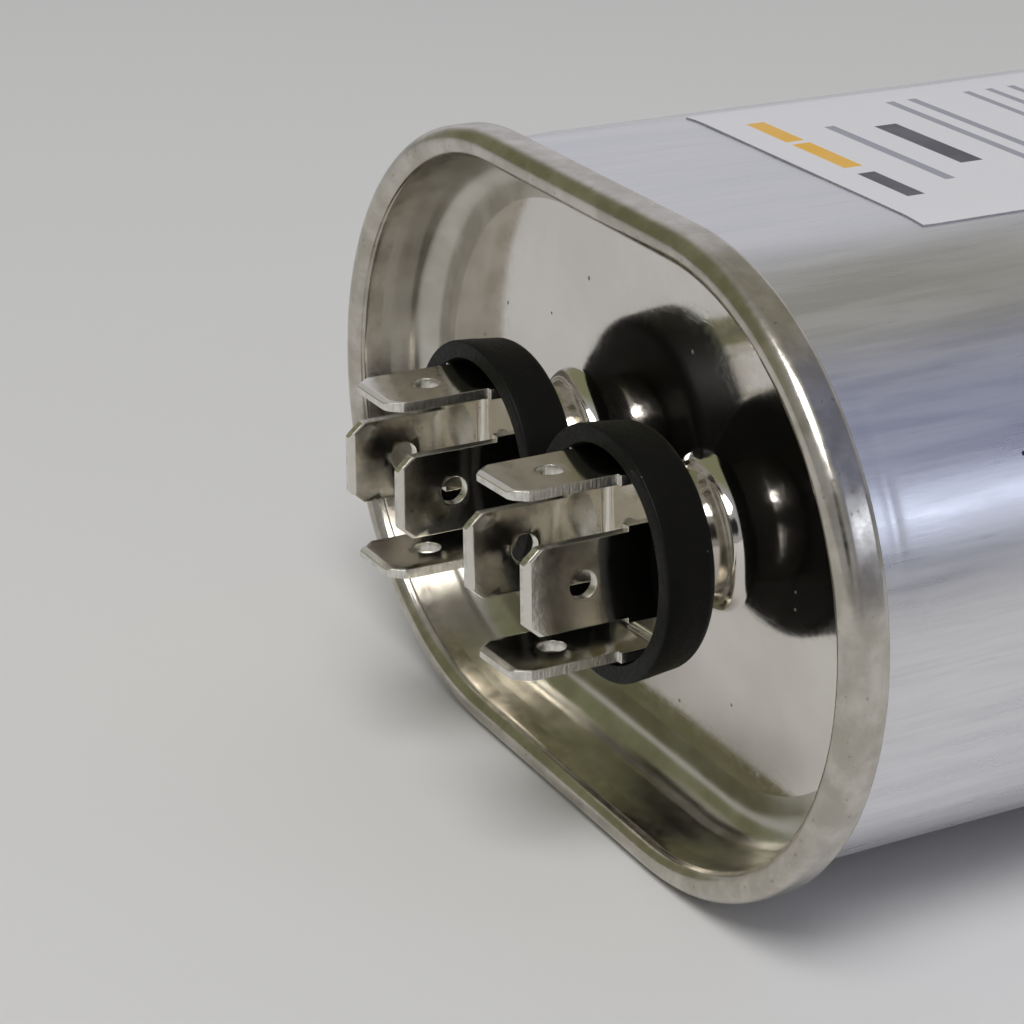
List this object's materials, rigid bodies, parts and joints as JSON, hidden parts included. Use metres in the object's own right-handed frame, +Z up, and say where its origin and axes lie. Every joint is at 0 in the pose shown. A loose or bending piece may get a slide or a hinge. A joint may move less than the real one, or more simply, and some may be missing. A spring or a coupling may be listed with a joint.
{
  "type": "motor run capacitor",
  "caption": "Oval aluminium-cased motor run capacitor on its broad side, with a deep seamed steel cover and black insulator cups that carry quick-connect blade terminals.",
  "frame": {"origin": "on the plane the part lies on, below the middle of its width and of its whole length from blade tips to can base", "axes": "+X along the oval's long axis, +Y along the can from the terminals to the base, +Z up from the broad side it lies on to the labelled broad side"},
  "size_m": [0.0738, 0.109, 0.0485],
  "materials": {
    "can_aluminium": "drawn aluminium with fine lines along the can, light scratches and pits",
    "cover_tinplate": "bright tinplate, mirror-like on the panel and duller on the seam",
    "seam_compound": "soft sealing compound",
    "cup_rubber": "matt black moulded rubber with fine dust",
    "blade_plating": "bright tin plating with small scratches and frosted tips",
    "rivet_steel": "plated steel",
    "bushing_plastic": "moulded insulating plastic",
    "lug_brass": "stamped brass",
    "interrupter_board": "pressed phenolic board",
    "lead_copper": "tinned strap",
    "sleeve_plastic": "thin insulating sleeve",
    "end_spray": "rough sprayed zinc",
    "film": "tightly wound metallised polypropylene film",
    "core_plastic": "plain moulded plastic",
    "wrap_film": "insulating film",
    "pad_board": "pressed insulating board",
    "label_film": "white sticker with plain amber and grey bars"
  },
  "bodies": {
    "root": {"can": "can_aluminium", "cover": "cover_tinplate", "seam_compound": "seam_compound", "insulator_cup_left": "cup_rubber", "insulator_cup_right": "cup_rubber", "terminal_left": "blade_plating", "terminal_right": "blade_plating", "rivet_left": "rivet_steel", "rivet_right": "rivet_steel", "inner_bushing_left": "bushing_plastic", "inner_bushing_right": "bushing_plastic", "contact_lug_left": "lug_brass", "contact_lug_right": "lug_brass", "interrupter_plate": "interrupter_board", "lead_strap_left": "lead_copper", "lead_strap_right": "lead_copper", "lead_sleeve": "sleeve_plastic", "end_spray_upper": "end_spray", "end_spray_lower": "end_spray", "film_winding": "film", "winding_core": "core_plastic", "winding_wrap": "wrap_film", "base_pad": "pad_board", "label": "label_film"}
  },
  "joints": []
}
